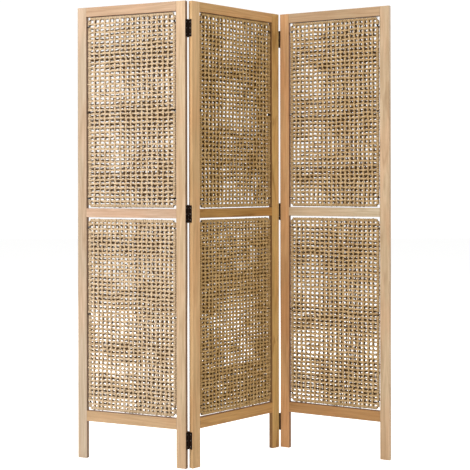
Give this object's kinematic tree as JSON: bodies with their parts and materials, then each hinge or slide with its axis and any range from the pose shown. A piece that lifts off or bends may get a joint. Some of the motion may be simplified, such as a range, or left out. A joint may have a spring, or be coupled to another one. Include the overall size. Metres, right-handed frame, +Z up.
{
  "type": "folding room divider screen",
  "caption": "Free-standing folding screen: wooden panel frames with woven cord infills on iron rods, joined by butt hinges.",
  "frame": {"origin": "on the floor, under the middle of the screen's plan as it stands folded at rest", "axes": "+Z up, +X to the right along the screen's overall width as seen from the front, -Y towards the viewer"},
  "size_m": [1.1796, 0.3222, 1.7],
  "materials": {
    "frame_wood": "oiled solid wood with a fine straight grain, satin",
    "dowel_wood": "plain turned beech",
    "woven_cord": "twisted natural plant-fibre cord, matte",
    "black_iron": "black painted iron rod, low sheen",
    "hinge_iron": "dark brown lacquered steel, low sheen",
    "hinge_pin_iron": "blackened steel, low sheen",
    "screw_steel": "dull zinc-plated steel"
  },
  "bodies": {
    "middle_panel": {"left_fold_bottom_hinge_inner_leaf": "hinge_iron", "left_fold_bottom_hinge_pin": "hinge_pin_iron", "left_fold_inner_screws": "screw_steel", "left_fold_middle_hinge_inner_leaf": "hinge_iron", "left_fold_middle_hinge_pin": "hinge_pin_iron", "left_fold_top_hinge_inner_leaf": "hinge_iron", "left_fold_top_hinge_pin": "hinge_pin_iron", "middle_panel_bottom_rail": "frame_wood", "middle_panel_dowels": "dowel_wood", "middle_panel_left_stile": "frame_wood", "middle_panel_lower_pins": "black_iron", "middle_panel_lower_rod_frame": "black_iron", "middle_panel_lower_weave": "woven_cord", "middle_panel_middle_rail": "frame_wood", "middle_panel_right_stile": "frame_wood", "middle_panel_top_rail": "frame_wood", "middle_panel_upper_pins": "black_iron", "middle_panel_upper_rod_frame": "black_iron", "middle_panel_upper_weave": "woven_cord", "right_fold_bottom_hinge_inner_leaf": "hinge_iron", "right_fold_bottom_hinge_pin": "hinge_pin_iron", "right_fold_inner_screws": "screw_steel", "right_fold_middle_hinge_inner_leaf": "hinge_iron", "right_fold_middle_hinge_pin": "hinge_pin_iron", "right_fold_top_hinge_inner_leaf": "hinge_iron", "right_fold_top_hinge_pin": "hinge_pin_iron"},
    "left_panel": {"left_fold_bottom_hinge_outer_leaf": "hinge_iron", "left_fold_middle_hinge_outer_leaf": "hinge_iron", "left_fold_outer_screws": "screw_steel", "left_fold_top_hinge_outer_leaf": "hinge_iron", "left_panel_bottom_rail": "frame_wood", "left_panel_dowels": "dowel_wood", "left_panel_left_stile": "frame_wood", "left_panel_lower_pins": "black_iron", "left_panel_lower_rod_frame": "black_iron", "left_panel_lower_weave": "woven_cord", "left_panel_middle_rail": "frame_wood", "left_panel_right_stile": "frame_wood", "left_panel_top_rail": "frame_wood", "left_panel_upper_pins": "black_iron", "left_panel_upper_rod_frame": "black_iron", "left_panel_upper_weave": "woven_cord"},
    "right_panel": {"right_fold_bottom_hinge_outer_leaf": "hinge_iron", "right_fold_middle_hinge_outer_leaf": "hinge_iron", "right_fold_outer_screws": "screw_steel", "right_fold_top_hinge_outer_leaf": "hinge_iron", "right_panel_bottom_rail": "frame_wood", "right_panel_dowels": "dowel_wood", "right_panel_left_stile": "frame_wood", "right_panel_lower_pins": "black_iron", "right_panel_lower_rod_frame": "black_iron", "right_panel_lower_weave": "woven_cord", "right_panel_middle_rail": "frame_wood", "right_panel_right_stile": "frame_wood", "right_panel_top_rail": "frame_wood", "right_panel_upper_pins": "black_iron", "right_panel_upper_rod_frame": "black_iron", "right_panel_upper_weave": "woven_cord"}
  },
  "joints": [
    {"name": "left_fold", "type": "hinge", "parent": "middle_panel", "child": "left_panel", "pos_m": [-0.16537, -0.14227, 0.85], "axis": [0, 0, 1], "range_deg": [-116.5, 63.5]},
    {"name": "right_fold", "type": "hinge", "parent": "middle_panel", "child": "right_panel", "pos_m": [0.18089, 0.14328, 0.85], "axis": [0, 0, 1], "range_deg": [-111, 69]}
  ]
}
